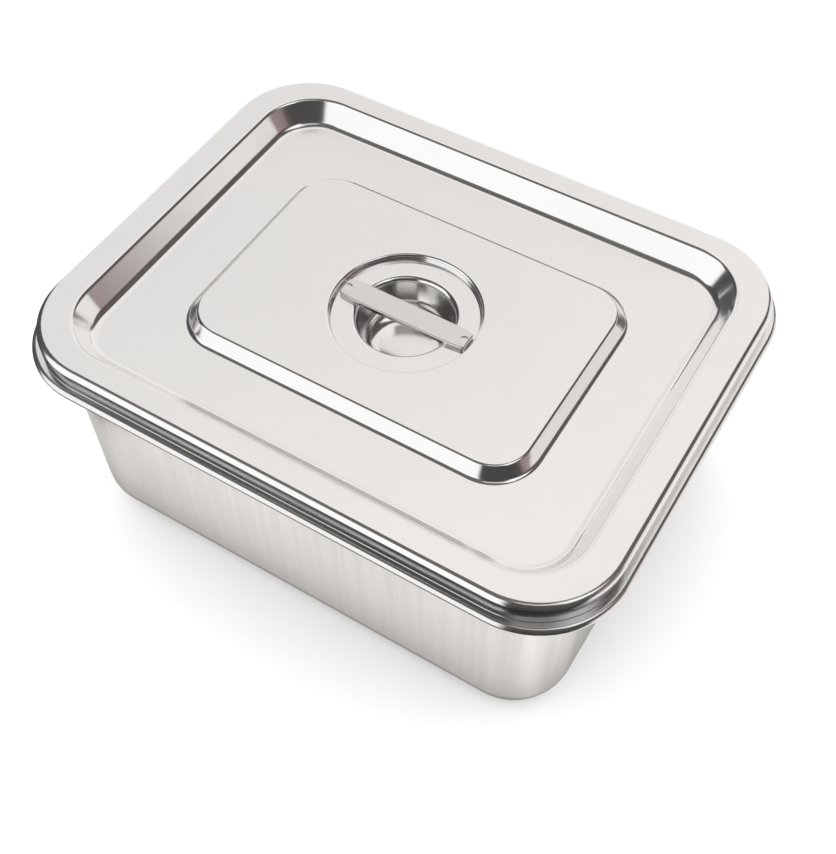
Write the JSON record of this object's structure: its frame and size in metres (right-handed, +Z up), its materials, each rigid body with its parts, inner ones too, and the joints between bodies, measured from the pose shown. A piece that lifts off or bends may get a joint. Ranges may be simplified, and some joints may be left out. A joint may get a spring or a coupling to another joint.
{
  "type": "instrument tray with cover",
  "caption": "Deep rectangular stainless-steel instrument tray with a curled rim and a lift-off pressed lid, lifted by a flat strap handle across a round finger recess.",
  "frame": {"origin": "centre of the pan's underside, where it rests on the table", "axes": "+X along the long side, +Y along the short side, +Z up through the lid"},
  "size_m": [0.254, 0.1982, 0.105],
  "materials": {
    "pan_steel": "satin stainless steel, fine brushed grain, polished bead",
    "lid_steel": "bright satin stainless steel, polished pressed edges",
    "strap_steel": "fine brushed stainless strip with rounded edges"
  },
  "bodies": {
    "pan": {"tray_pan": "pan_steel"},
    "lid": {"lid_cover": "lid_steel", "handle_strap": "strap_steel"}
  },
  "joints": [
    {"name": "lid_lift", "type": "slide", "parent": "pan", "child": "lid", "axis": [0, 0, 1], "range_m": [0, 0.08]}
  ]
}
